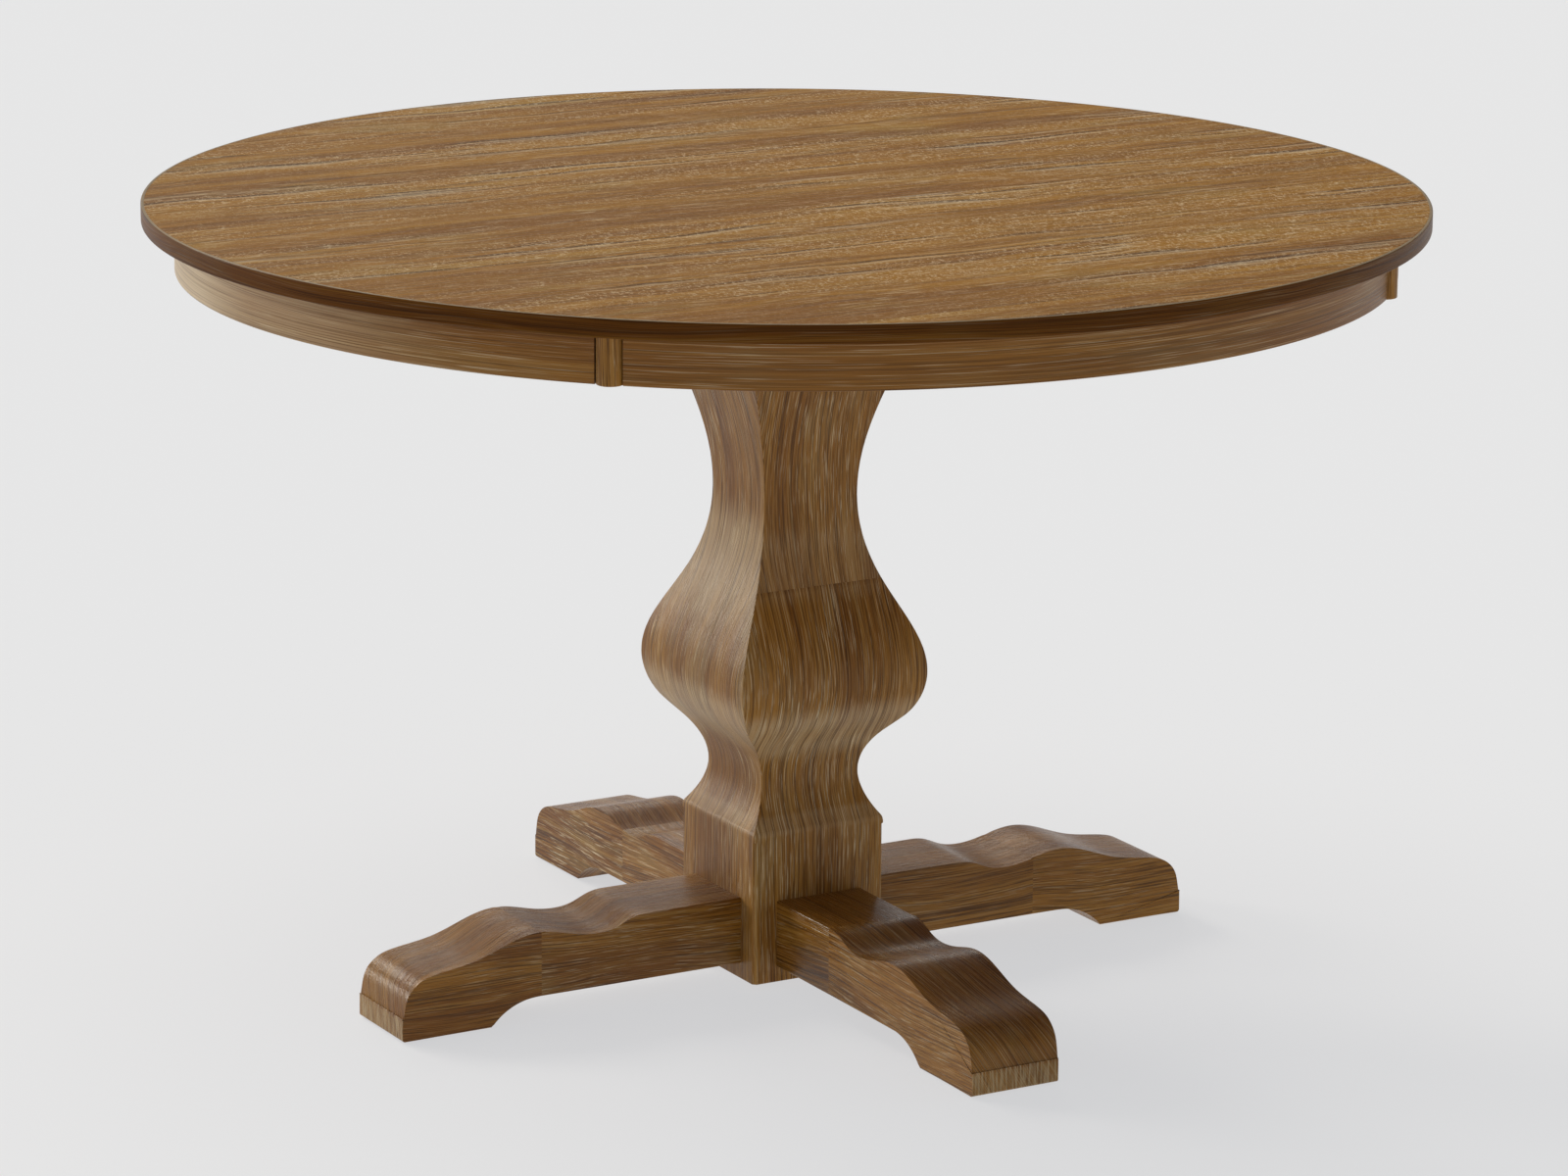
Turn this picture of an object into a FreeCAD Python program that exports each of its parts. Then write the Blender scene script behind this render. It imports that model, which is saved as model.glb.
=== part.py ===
import FreeCAD, Part
import math
import os

# Round pedestal dining table. All lengths are in millimetres.
# The origin is on the floor under the centre of the top. +X is right, +Y is back, +Z is up.
# Every leg, rail and stave is drawn as the one on the +X side and then turned to its place.

Vector = FreeCAD.Vector
ORIGIN = Vector(0, 0, 0)
UP = Vector(0, 0, 1)

# Sides and corners of the table, as angles from +X.
SIDES = {"right": 0, "back": 90, "left": 180, "front": 270}
CORNERS = {"back_right": 45, "back_left": 135, "front_left": 225, "front_right": 315}

# Overall size
TABLE_R = 597.0
TABLE_H = 749.0

# Table top: a board between two veneers, with a solid lipping round its edge
CORE_T = 16.0
VENEER_T = 0.6
LIP_T = 3.0
LIP_ARRIS = 1.3
CORE_R = TABLE_R - LIP_T
UNDERSIDE_Z = TABLE_H - CORE_T - 2 * VENEER_T

# Apron: four curved rails, a round-faced pilaster between two rails' ends and a block behind it
APRON_OVERHANG = 30.0
APRON_T = 22.0
APRON_H = 46.6
APRON_ARRIS = 1.5
APRON_R = TABLE_R - APRON_OVERHANG
APRON_IN_R = APRON_R - APRON_T
APRON_Z = UNDERSIDE_Z - APRON_H
PILASTER_W = 24.0
PILASTER_PROUD = 7.2
PILASTER_GAP = 0.6
PILASTER_ARRIS = 1.2
BLOCK_W = 92.0
BLOCK_DEPTH = 46.0
BLOCK_H = 38.0
BLOCK_CUT = 25.0
GLUE_LINE = 0.1

# Two bearers half-lapped into a cross under the top, and the plate that the column meets
BEARER_W = 70.0
BEARER_H = 30.0
BEARER_Z = UNDERSIDE_Z - BEARER_H
LAP_Z = UNDERSIDE_Z - BEARER_H / 2
ROD_WELL_R = 30.0
PLATE_HALF = 130.0
PLATE_T = 18.0
PLATE_ARRIS = 6.0
PLATE_Z = BEARER_Z - PLATE_T

# Column: four mitred staves round a square bore, each in two lengths
COLUMN_FOOT_Z = 8.5
COLUMN_JOINT_Z = 389.0
PLINTH_HALF = 70.3
PLINTH_CHAMFER = 3.2
PLINTH_ARRIS_Z = 152.5
HEAD_HALF = 99.8
HEAD_ARRIS_Z = 645.0
BORE_HALF = 22.0
CAVITY_HALF = 42.0
CAVITY_TOP = 129.0
# Half-width of the column against height, from the plinth's arris to the head's
COLUMN_CURVE = [
    (67.9, 158.4), (57.8, 176.0), (52.3, 199.0), (56.4, 220.0), (69.2, 240.0), (87.2, 260.0),
    (97.0, 281.0), (99.8, 301.0), (96.6, 324.0), (84.0, 355.0), (66.8, 390.0), (54.0, 430.0),
    (50.1, 468.0), (53.7, 511.0), (65.7, 560.0), (84.0, 611.0), (95.6, 637.0),
]
PLINTH_ARRIS_MID = (69.6, 155.7)
HEAD_ARRIS_MID = (98.6, 641.4)
PLINTH_BLOCK_T = 24.0

# Tie rod from the block in the plinth to the plate on the head
ROD_R = 6.0
ROD_EASE = 1.0
ROD_ROOM = 0.5
ROD_LOW = 88.0
ROD_TOP = 719.0
ROD_NUT_AF = 19.0
ROD_NUT_T = 10.0
ROD_WASHER_R = 18.0
ROD_WASHER_T = 3.0

# Legs: width, the outline's main points (distance from the axis, height) and the glued joint
LEG_W = 90.6
LEG_TOP_Z = 88.5
LEG_UNDER_Z = 24.0
LEG_TOE = 426.0
SOLE_Z = 1.5
SOLE_IN = 334.0
ARCH_START = 290.0
ARCH_MID = (316.0, 16.4)
TOE_EASE = 2.5
SHOULDER_START = (170.0, LEG_TOP_Z)
LEG_CURVE = [
    SHOULDER_START, (186.0, 86.3), (203.0, 79.4), (224.0, 76.4), (249.0, 79.8), (268.0, 84.4),
    (287.0, 86.2), (306.0, 83.2), (330.0, 75.0), (351.0, 68.3), (372.0, 64.6), (392.0, 61.7),
    (406.5, 57.2), (416.2, 49.5), (421.8, 38.5), (424.9, 23.0), (LEG_TOE, SOLE_Z + TOE_EASE),
]
LEG_JOINT = {"right": 255.0, "back": 238.0, "left": 282.0, "front": 168.0}

# Clearance round screws, bolts and dowels in their holes
FIT = 0.05

# Fastenings of a leg: two hanger bolts and two dowels into the plinth, two dowels in the joint
HANGER_R = 5.0
HANGER_HEIGHTS = [44.0, 72.0]
HANGER_IN = 24.0
HANGER_OUT = 132.0
HANGER_EASE = 0.8
HANGER_TIP = 8.0
HANGER_END_ROOM = 0.5
HANGER_NUT_AF = 17.0
HANGER_NUT_T = 8.0
HANGER_WASHER_R = 12.0
HANGER_WASHER_T = 2.5
LEG_DOWEL_R = 5.0
LEG_DOWEL_Y = 29.0
LEG_DOWEL_Z = 57.0
LEG_DOWEL_IN = 48.0
LEG_DOWEL_OUT = 100.0
SPLICE_DOWEL_R = 6.0
SPLICE_DOWEL_Y = 22.0
SPLICE_DOWEL_Z = 53.0
SPLICE_DOWEL_HALF = 38.0

# Dowels across the joint of the column's staves
STAVE_DOWEL_R = 5.0
STAVE_DOWEL_X = 43.0
STAVE_DOWEL_HALF = 26.0

# Screws: head radius, head height, shank radius, length and tip
TOP_SCREW = (4.6, 3.0, 2.3, 34.0, 5.0)
TOP_SCREW_SINK = 8.0
TOP_SCREW_AT = [95.0, 300.0, 480.0]
PLATE_SCREW = (6.0, 3.6, 3.0, 42.0, 6.0)
PLATE_SCREW_X = 116.0
PLATE_SCREW_Y = 20.0
RAIL_SCREW = (4.2, 2.8, 2.1, 46.0, 5.0)
RAIL_SCREW_SINK = 5.0
RAIL_SCREW_Y = 30.0
RAIL_SCREW_DOWN = 25.0
BLOCK_SCREW = (4.2, 2.8, 2.1, 50.0, 5.0)
BLOCK_SCREW_Y = 10.0
SOCKET_AF = 3.0
SOCKET_DEPTH = 1.6
HEAD_ROOM = 0.6

# Eased corners of nuts and dowels, as a share of their size, and a washer's clearance
HEXAGON_EASE = 0.06
DOWEL_EASE = 0.3
WASHER_ROOM = 0.4

# Levelling glide under each toe, its threaded insert and its travel
GLIDE_X = 381.0
PAD_R = 14.0
PAD_T = 3.4
PAD_EASE = 1.0
COLLAR_AF = 16.0
COLLAR_T = 2.8
STEM_R = 4.0
STEM_LOW = 1.4
STEM_TOP = 34.0
STEM_CHAMFER = 0.8
STEM_FIT = 0.08
RECESS_R = 17.0
RECESS_TOP = 6.5
INSERT_R = 6.5
INSERT_L = 18.0
STEM_WELL_R = 4.6
STEM_WELL_TOP = 38.0

# Larger than the table, for cutting tools
REACH = 700.0


def box(low, high):
    """A box from its lowest and highest corners."""
    size = [high[i] - low[i] for i in range(3)]
    return Part.makeBox(size[0], size[1], size[2], Vector(*low))


def rod(radius, start, end):
    """A cylinder between two points."""
    start = Vector(*start)
    along = Vector(*end) - start
    return Part.makeCylinder(radius, along.Length, start, along)


def turned(shape, angle):
    """A copy of a shape turned about the table's axis."""
    copy = shape.copy()
    copy.rotate(ORIGIN, UP, angle)
    return copy


def moved(shape, place):
    """A copy of a shape moved by a distance."""
    copy = shape.copy()
    copy.translate(Vector(*place))
    return copy


def tipped(shape, axis, angle):
    """A copy of a shape turned about an axis through the origin."""
    copy = shape.copy()
    copy.rotate(ORIGIN, Vector(*axis), angle)
    return copy


def section(points):
    """Vectors in the XZ plane."""
    return [Vector(x, 0, z) for x, z in points]


def polygon_edges(points):
    """Straight edges through a list of vectors, left open."""
    return [Part.LineSegment(a, b).toShape() for a, b in zip(points, points[1:])]


def arc(start, middle, end):
    """An arc edge through three XZ points."""
    return Part.Arc(*section([start, middle, end])).toShape()


def spline(points, start=None, end=None):
    """A smooth edge through XZ points, which may be given its directions at both ends."""
    curve = Part.BSplineCurve()
    if start:
        tangents = section([start, end])
        curve.interpolate(Points=section(points), InitialTangent=tangents[0], FinalTangent=tangents[1])
    else:
        curve.interpolate(section(points))
    return curve.toShape()


def spin(points, angle=360):
    """A solid turned about Z from a closed outline of (radius, height) points."""
    outline = Part.makePolygon(section(points + [points[0]]))
    return Part.Face(outline).revolve(ORIGIN, UP, angle)


def hexagon(across_flats, height):
    """A hexagonal prism standing on the origin, with its corners eased at both ends."""
    corner = across_flats / math.sqrt(3)
    ring = [Vector(corner * math.cos(math.radians(60 * i)), corner * math.sin(math.radians(60 * i)), 0)
            for i in range(7)]
    prism = Part.Face(Part.makePolygon(ring)).extrude(Vector(0, 0, height))
    ease = HEXAGON_EASE * across_flats
    inner = across_flats / 2
    turned_blank = spin([(0, 0), (inner, 0), (inner + 2 * ease, ease), (inner + 2 * ease, height - ease),
                         (inner, height), (0, height)])
    return prism.common(turned_blank)


def nut(across_flats, thickness, bolt_r):
    return hexagon(across_flats, thickness).cut(rod(bolt_r + FIT, (0, 0, -1), (0, 0, thickness + 1)))


def washer(radius, thickness, bolt_r):
    disc = rod(radius, (0, 0, 0), (0, 0, thickness))
    return disc.cut(rod(bolt_r + WASHER_ROOM, (0, 0, -1), (0, 0, thickness + 1)))


def screw_blank(spec, clearance=0.0):
    """The outline of a countersunk screw, head at the origin and tip up, with room round it."""
    head_r, head_h, shank_r, length, tip = spec
    side = shank_r + clearance
    point_z = length - tip + tip * side / shank_r
    return spin([(0, 0), (head_r + clearance, 0), (side, head_h), (side, length - tip), (0, point_z)])


def screw(spec):
    socket = moved(hexagon(SOCKET_AF, SOCKET_DEPTH + 1), (0, 0, -1))
    return screw_blank(spec).cut(socket)


def fastener(spec, room):
    """A screw, or the room that it takes when a clearance is given."""
    return screw_blank(spec, room) if room else screw(spec)


def dowel(radius, half):
    """A dowel with eased ends along X, centred on the origin."""
    ease = DOWEL_EASE * radius
    blank = spin([(0, -half), (radius - ease, -half), (radius, -half + ease), (radius, half - ease),
                  (radius - ease, half), (0, half)])
    return tipped(blank, (0, 1, 0), 90)


# ---- table top ----

def top_board(low, high):
    return rod(CORE_R, (0, 0, low), (0, 0, high))


def top_lipping():
    """The ring round the board, with both outer arrises eased."""
    low, high, ease = UNDERSIDE_Z, TABLE_H, LIP_ARRIS
    curve = ease * (1 - math.sqrt(0.5))
    edges = polygon_edges(section([(TABLE_R - ease, high), (CORE_R, high), (CORE_R, low),
                                   (TABLE_R - ease, low)]))
    edges.append(arc((TABLE_R - ease, low), (TABLE_R - curve, low + curve), (TABLE_R, low + ease)))
    edges += polygon_edges(section([(TABLE_R, low + ease), (TABLE_R, high - ease)]))
    edges.append(arc((TABLE_R, high - ease), (TABLE_R - curve, high - curve), (TABLE_R - ease, high)))
    return Part.Face(Part.Wire(edges)).revolve(ORIGIN, UP, 360)


# ---- apron ----

def apron_rail():
    """A quarter ring centred on +X, with its lower arrises eased."""
    low, high, ease = APRON_Z, UNDERSIDE_Z, APRON_ARRIS
    curve = ease * (1 - math.sqrt(0.5))
    edges = polygon_edges(section([(APRON_R, low + ease), (APRON_R, high), (APRON_IN_R, high),
                                   (APRON_IN_R, low + ease)]))
    edges.append(arc((APRON_IN_R, low + ease), (APRON_IN_R + curve, low + curve), (APRON_IN_R + ease, low)))
    edges += polygon_edges(section([(APRON_IN_R + ease, low), (APRON_R - ease, low)]))
    edges.append(arc((APRON_R - ease, low), (APRON_R - curve, low + curve), (APRON_R, low + ease)))
    ring = turned(Part.Face(Part.Wire(edges)).revolve(ORIGIN, UP, 90), -45)
    half = PILASTER_W / 2 + PILASTER_GAP
    slot = box((0, -half, 0), (REACH, half, TABLE_H))
    return ring.cut([turned(slot, corner) for corner in (-45, 45)])


def apron_pilaster():
    """The post on +X between two rails' ends: flat at the back, half-round in front."""
    half = PILASTER_W / 2
    centre = APRON_R + PILASTER_PROUD - half
    back = APRON_IN_R - GLUE_LINE
    middle = Vector(centre + half, 0, APRON_Z)
    corners = [Vector(centre, half, APRON_Z), Vector(back, half, APRON_Z), Vector(back, -half, APRON_Z),
               Vector(centre, -half, APRON_Z)]
    edges = polygon_edges(corners) + [Part.Arc(corners[-1], middle, corners[0]).toShape()]
    post = Part.Face(Part.Wire(edges)).extrude(Vector(0, 0, APRON_H))
    low_front = [edge for edge in post.Edges
                 if edge.BoundBox.ZMax < APRON_Z + 1 and edge.BoundBox.XMax > centre + half / 2]
    return post.makeFillet(PILASTER_ARRIS, low_front)


def corner_block_screws(room=0.0):
    """Two screws outwards into the rails and two upwards into the top, for the block on +X."""
    inner_x = APRON_IN_R - BLOCK_DEPTH
    bevel_x = inner_x + RAIL_SCREW_Y - (BLOCK_W / 2 - BLOCK_CUT) + RAIL_SCREW_SINK
    outward = tipped(fastener(RAIL_SCREW, room), (0, 1, 0), 90)
    upward = fastener(BLOCK_SCREW, room)
    shapes = []
    for side in (-1, 1):
        shapes.append(moved(outward, (bevel_x, side * RAIL_SCREW_Y, UNDERSIDE_Z - RAIL_SCREW_DOWN)))
        shapes.append(moved(upward, (inner_x + BLOCK_DEPTH / 2, side * BLOCK_SCREW_Y, UNDERSIDE_Z - BLOCK_H)))
    return shapes


def corner_block():
    """The block behind a joint on +X: curved against the rails, with its inner corners cut off."""
    inner_x = APRON_IN_R - BLOCK_DEPTH
    half = BLOCK_W / 2
    outline = [(inner_x, -half + BLOCK_CUT), (inner_x + BLOCK_CUT, -half), (APRON_R, -half),
               (APRON_R, half), (inner_x + BLOCK_CUT, half), (inner_x, half - BLOCK_CUT)]
    outline.append(outline[0])
    low_z = UNDERSIDE_Z - BLOCK_H
    base = Part.Face(Part.makePolygon([Vector(x, y, low_z) for x, y in outline]))
    block = base.extrude(Vector(0, 0, BLOCK_H))
    block = block.common(rod(APRON_IN_R - GLUE_LINE, (0, 0, low_z), (0, 0, UNDERSIDE_Z)))
    screw_z = UNDERSIDE_Z - RAIL_SCREW_DOWN
    head_x = inner_x + RAIL_SCREW_Y - (half - BLOCK_CUT) + RAIL_SCREW_SINK
    pockets = [rod(RAIL_SCREW[0] + HEAD_ROOM, (inner_x - 1, side * RAIL_SCREW_Y, screw_z),
                   (head_x, side * RAIL_SCREW_Y, screw_z)) for side in (-1, 1)]
    return block.cut(pockets + corner_block_screws(FIT))


# ---- bearers and plate ----

def top_screw_places():
    """Distances along X of the screws that hold a bearer to the top."""
    return [side * x for x in TOP_SCREW_AT for side in (-1, 1)]


def top_screws(room=0.0):
    """The screws of the bearer along X."""
    blank = fastener(TOP_SCREW, room)
    return [moved(blank, (x, 0, BEARER_Z + TOP_SCREW_SINK)) for x in top_screw_places()]


def plate_screws(room=0.0):
    """The screws up through the plate into the bearer along X."""
    blank = fastener(PLATE_SCREW, room)
    places = [(x * PLATE_SCREW_X, y * PLATE_SCREW_Y) for x in (-1, 1) for y in (-1, 1)]
    return [moved(blank, (x, y, PLATE_Z)) for x, y in places]


def bearer(lap_low, lap_high):
    """A bearer along X, lapped between two heights where the other one crosses it."""
    half = BEARER_W / 2
    bar = box((-APRON_IN_R, -half, BEARER_Z), (APRON_IN_R, half, UNDERSIDE_Z))
    bar = bar.common(rod(APRON_IN_R - GLUE_LINE, (0, 0, BEARER_Z), (0, 0, UNDERSIDE_Z)))
    cuts = [box((-half, -half - 1, lap_low), (half, half + 1, lap_high))]
    cuts.append(rod(ROD_WELL_R, (0, 0, BEARER_Z - 1), (0, 0, UNDERSIDE_Z + 1)))
    sink_r = TOP_SCREW[0] + HEAD_ROOM
    for x in top_screw_places():
        cuts.append(rod(sink_r, (x, 0, BEARER_Z - 1), (x, 0, BEARER_Z + TOP_SCREW_SINK)))
    return bar.cut(cuts + top_screws(FIT) + plate_screws(FIT))


def mounting_plate():
    """The square plate between the column and the bearers, with its lower edge bevelled."""
    half, ease = PLATE_HALF, PLATE_ARRIS
    outline = section([(-half + ease, PLATE_Z), (half - ease, PLATE_Z), (half, PLATE_Z + ease),
                       (half, BEARER_Z), (-half, BEARER_Z), (-half, PLATE_Z + ease), (-half + ease, PLATE_Z)])
    face = Part.Face(Part.makePolygon([v - Vector(0, half, 0) for v in outline]))
    slab = face.extrude(Vector(0, 2 * half, 0))
    plate = slab.common(turned(slab, 90))
    hole = rod(ROD_R + ROD_ROOM, (0, 0, PLATE_Z - 1), (0, 0, BEARER_Z + 1))
    screws = plate_screws(FIT)
    return plate.cut([hole] + screws + [turned(s, 90) for s in screws])


# ---- column ----

def column_outline(low, high):
    """Face in the XZ plane between the bore and the outside of a stave."""
    edges = polygon_edges(section([(PLINTH_HALF, COLUMN_FOOT_Z), (PLINTH_HALF, PLINTH_ARRIS_Z)]))
    edges.append(arc((PLINTH_HALF, PLINTH_ARRIS_Z), PLINTH_ARRIS_MID, COLUMN_CURVE[0]))
    edges.append(spline(COLUMN_CURVE))
    edges.append(arc(COLUMN_CURVE[-1], HEAD_ARRIS_MID, (HEAD_HALF, HEAD_ARRIS_Z)))
    rest = [(HEAD_HALF, HEAD_ARRIS_Z), (HEAD_HALF, PLATE_Z), (BORE_HALF, PLATE_Z), (BORE_HALF, CAVITY_TOP),
            (CAVITY_HALF, CAVITY_TOP), (CAVITY_HALF, COLUMN_FOOT_Z), (PLINTH_HALF, COLUMN_FOOT_Z)]
    edges += polygon_edges(section(rest))
    face = Part.Face(Part.Wire(edges))
    return face.common(box((0, -1, low), (REACH, 1, high)))


def mitre_wedge():
    """The quarter of space round +X between the two diagonals."""
    base = Part.Face(Part.makePolygon([Vector(0, 0, 0), Vector(REACH, -REACH, 0), Vector(REACH, REACH, 0),
                                       Vector(0, 0, 0)]))
    return base.extrude(Vector(0, 0, TABLE_H))


def plinth_corner_cuts():
    """Prisms that take the corners off the plinth beside the stave on +X, up to just below its arris."""
    reach = PLINTH_CHAMFER * 2
    prism = box((-reach, -reach, 0), (reach, reach, PLINTH_ARRIS_Z - PLINTH_CHAMFER))
    prism = turned(prism, 45)
    offset = PLINTH_HALF + (reach * math.sqrt(2) - PLINTH_CHAMFER) / 2
    return [moved(prism, (offset, side * offset, 0)) for side in (-1, 1)]


def stave(low, high):
    """The part of the +X stave between two heights, mitred along both edges."""
    half = HEAD_HALF + 1
    blank = column_outline(low, high)
    blank.translate(Vector(0, -half, 0))
    return blank.extrude(Vector(0, 2 * half, 0)).common(mitre_wedge()).cut(plinth_corner_cuts())


def stave_dowel(room=0.0):
    """The dowel across the joint in the +X stave."""
    upright = tipped(dowel(STAVE_DOWEL_R + room, STAVE_DOWEL_HALF + room), (0, 1, 0), 90)
    return moved(upright, (STAVE_DOWEL_X, 0, COLUMN_JOINT_Z))


def plinth_block():
    """The block that closes the plinth's cavity and holds the lower end of the tie rod."""
    half = CAVITY_HALF
    block = box((-half, -half, CAVITY_TOP - PLINTH_BLOCK_T), (half, half, CAVITY_TOP))
    return block.cut(rod(ROD_R + ROD_ROOM, (0, 0, 0), (0, 0, CAVITY_TOP + 1)))


def tie_rod():
    ease = ROD_EASE
    return spin([(0, ROD_LOW), (ROD_R - ease, ROD_LOW), (ROD_R, ROD_LOW + ease), (ROD_R, ROD_TOP - ease),
                 (ROD_R - ease, ROD_TOP), (0, ROD_TOP)])


def tie_rod_hardware():
    """The nuts and the washers at the two ends of the tie rod."""
    block_under = CAVITY_TOP - PLINTH_BLOCK_T
    one_washer = washer(ROD_WASHER_R, ROD_WASHER_T, ROD_R)
    one_nut = nut(ROD_NUT_AF, ROD_NUT_T, ROD_R)
    washers = [moved(one_washer, (0, 0, z)) for z in (block_under - ROD_WASHER_T, BEARER_Z)]
    nut_heights = (block_under - ROD_WASHER_T - ROD_NUT_T, BEARER_Z + ROD_WASHER_T)
    nuts = [moved(one_nut, (0, 0, z)) for z in nut_heights]
    return nuts, washers


# ---- legs ----

def leg_blank():
    """The whole +X leg: a flat top, a long wave down to a rounded toe, and an arched underside."""
    toe_low = (LEG_TOE - TOE_EASE, SOLE_Z)
    toe_mid = (LEG_TOE - 0.3 * TOE_EASE, SOLE_Z + 0.3 * TOE_EASE)
    sole = [toe_low, (SOLE_IN, SOLE_Z)]
    back = [(ARCH_START, LEG_UNDER_Z), (PLINTH_HALF, LEG_UNDER_Z), (PLINTH_HALF, LEG_TOP_Z), SHOULDER_START]
    wave = spline(LEG_CURVE, start=(1, 0), end=(0, -1))
    edges = [wave, arc(LEG_CURVE[-1], toe_mid, toe_low)]
    edges += polygon_edges(section(sole))
    edges.append(arc(sole[-1], ARCH_MID, back[0]))
    edges += polygon_edges(section(back))
    face = Part.Face(Part.Wire(edges))
    face.translate(Vector(0, -LEG_W / 2, 0))
    return face.extrude(Vector(0, LEG_W, 0))


def hanger_bolts():
    """The bolts of the +X leg, with a wood-screw end in the leg and a plain end in the plinth."""
    ease = HANGER_EASE
    length = HANGER_OUT - HANGER_IN
    blank = spin([(0, 0), (HANGER_R - ease, 0), (HANGER_R, ease), (HANGER_R, length - HANGER_TIP),
                  (0, length)])
    lying = tipped(blank, (0, 1, 0), 90)
    return [moved(lying, (HANGER_IN, 0, z)) for z in HANGER_HEIGHTS]


def hanger_hardware():
    """The nuts and the washers of the +X leg's bolts, inside the plinth's cavity."""
    washer_x = CAVITY_HALF - HANGER_WASHER_T
    one_washer = tipped(washer(HANGER_WASHER_R, HANGER_WASHER_T, HANGER_R), (0, 1, 0), 90)
    one_nut = tipped(nut(HANGER_NUT_AF, HANGER_NUT_T, HANGER_R), (0, 1, 0), 90)
    nuts = [moved(one_nut, (washer_x - HANGER_NUT_T, 0, z)) for z in HANGER_HEIGHTS]
    washers = [moved(one_washer, (washer_x, 0, z)) for z in HANGER_HEIGHTS]
    return nuts, washers


def hanger_holes():
    far = HANGER_OUT + HANGER_END_ROOM
    return [rod(HANGER_R + FIT, (HANGER_IN, 0, z), (far, 0, z)) for z in HANGER_HEIGHTS]


def leg_dowels(room=0.0):
    """The two dowels between the +X leg and the plinth."""
    half = (LEG_DOWEL_OUT - LEG_DOWEL_IN) / 2 + room
    middle = (LEG_DOWEL_OUT + LEG_DOWEL_IN) / 2
    pin = dowel(LEG_DOWEL_R + room, half)
    return [moved(pin, (middle, side * LEG_DOWEL_Y, LEG_DOWEL_Z)) for side in (-1, 1)]


def splice_dowels(joint_x, room=0.0):
    """The two dowels across the glued joint of the +X leg."""
    pin = dowel(SPLICE_DOWEL_R + room, SPLICE_DOWEL_HALF + room)
    return [moved(pin, (joint_x, side * SPLICE_DOWEL_Y, SPLICE_DOWEL_Z)) for side in (-1, 1)]


def glide_holes():
    """The recess, the insert's hole and the stem's well in the sole of the +X leg."""
    insert_top = RECESS_TOP + INSERT_L
    return [rod(RECESS_R, (GLIDE_X, 0, SOLE_Z - 1), (GLIDE_X, 0, RECESS_TOP)),
            rod(INSERT_R + FIT, (GLIDE_X, 0, RECESS_TOP - 1), (GLIDE_X, 0, insert_top)),
            rod(STEM_WELL_R, (GLIDE_X, 0, insert_top - 1), (GLIDE_X, 0, STEM_WELL_TOP))]


def leg_pieces(joint_x):
    """The inner and outer blocks of the +X leg, on each side of its glued joint."""
    body = leg_blank().cut(hanger_holes() + leg_dowels(FIT) + splice_dowels(joint_x, FIT) + glide_holes())
    half = LEG_W
    inner = body.common(box((0, -half, 0), (joint_x, half, TABLE_H)))
    outer = body.common(box((joint_x, -half, 0), (REACH, half, TABLE_H)))
    return inner, outer


def glide_pad():
    """The +X glide's round pad, with an eased rim and a hole that holds the stem's foot."""
    ease = PAD_EASE
    pad = spin([(0, 0), (PAD_R - ease, 0), (PAD_R, ease), (PAD_R, PAD_T - ease), (PAD_R - ease, PAD_T),
                (STEM_R, PAD_T), (STEM_R, STEM_LOW), (0, STEM_LOW)])
    return moved(pad, (GLIDE_X, 0, 0))


def glide_screw():
    """The +X glide's threaded stem, with a collar for a spanner."""
    collar = moved(hexagon(COLLAR_AF, COLLAR_T), (0, 0, PAD_T))
    stem = spin([(0, STEM_LOW), (STEM_R, STEM_LOW), (STEM_R, STEM_TOP - STEM_CHAMFER),
                 (STEM_R - STEM_CHAMFER, STEM_TOP), (0, STEM_TOP)])
    return moved(collar.fuse(stem), (GLIDE_X, 0, 0))


def glide_insert():
    """The bush in the +X leg that the stem runs in."""
    sleeve = rod(INSERT_R, (GLIDE_X, 0, RECESS_TOP), (GLIDE_X, 0, RECESS_TOP + INSERT_L))
    return sleeve.cut(rod(STEM_R + STEM_FIT, (GLIDE_X, 0, 0), (GLIDE_X, 0, STEM_WELL_TOP)))


# ---- assembly ----

def top_nodes():
    core_low = UNDERSIDE_Z + VENEER_T
    core_high = TABLE_H - VENEER_T
    holes = top_screws(FIT) + [turned(s, 90) for s in top_screws(FIT)]
    for angle in CORNERS.values():
        holes += [turned(s, angle) for s in corner_block_screws(FIT)]
    return {
        "top_core": top_board(core_low, core_high).cut(holes),
        "top_face_veneer": top_board(core_high, TABLE_H),
        "top_back_veneer": top_board(UNDERSIDE_Z, core_low).cut(holes),
        "top_edge_lipping": top_lipping(),
    }


def apron_nodes():
    nodes = {}
    screws = []
    for side, angle in SIDES.items():
        rail = apron_rail()
        for corner in (-45, 45):
            rail = rail.cut([turned(s, corner) for s in corner_block_screws(FIT)])
        nodes["apron_rail_" + side] = turned(rail, angle)
    for corner, angle in CORNERS.items():
        nodes["apron_pilaster_" + corner] = turned(apron_pilaster(), angle)
        nodes["corner_block_" + corner] = turned(corner_block(), angle)
        screws += [turned(s, angle) for s in corner_block_screws()]
    nodes["corner_block_screws"] = Part.makeCompound(screws)
    return nodes


def frame_nodes():
    top = top_screws()
    plate = plate_screws()
    return {
        "bearer_lengthwise": bearer(LAP_Z, UNDERSIDE_Z + 1),
        "bearer_crosswise": turned(bearer(BEARER_Z - 1, LAP_Z), 90),
        "mounting_plate": mounting_plate(),
        "top_screws": Part.makeCompound(top + [turned(s, 90) for s in top]),
        "plate_screws": Part.makeCompound(plate + [turned(s, 90) for s in plate]),
    }


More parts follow.
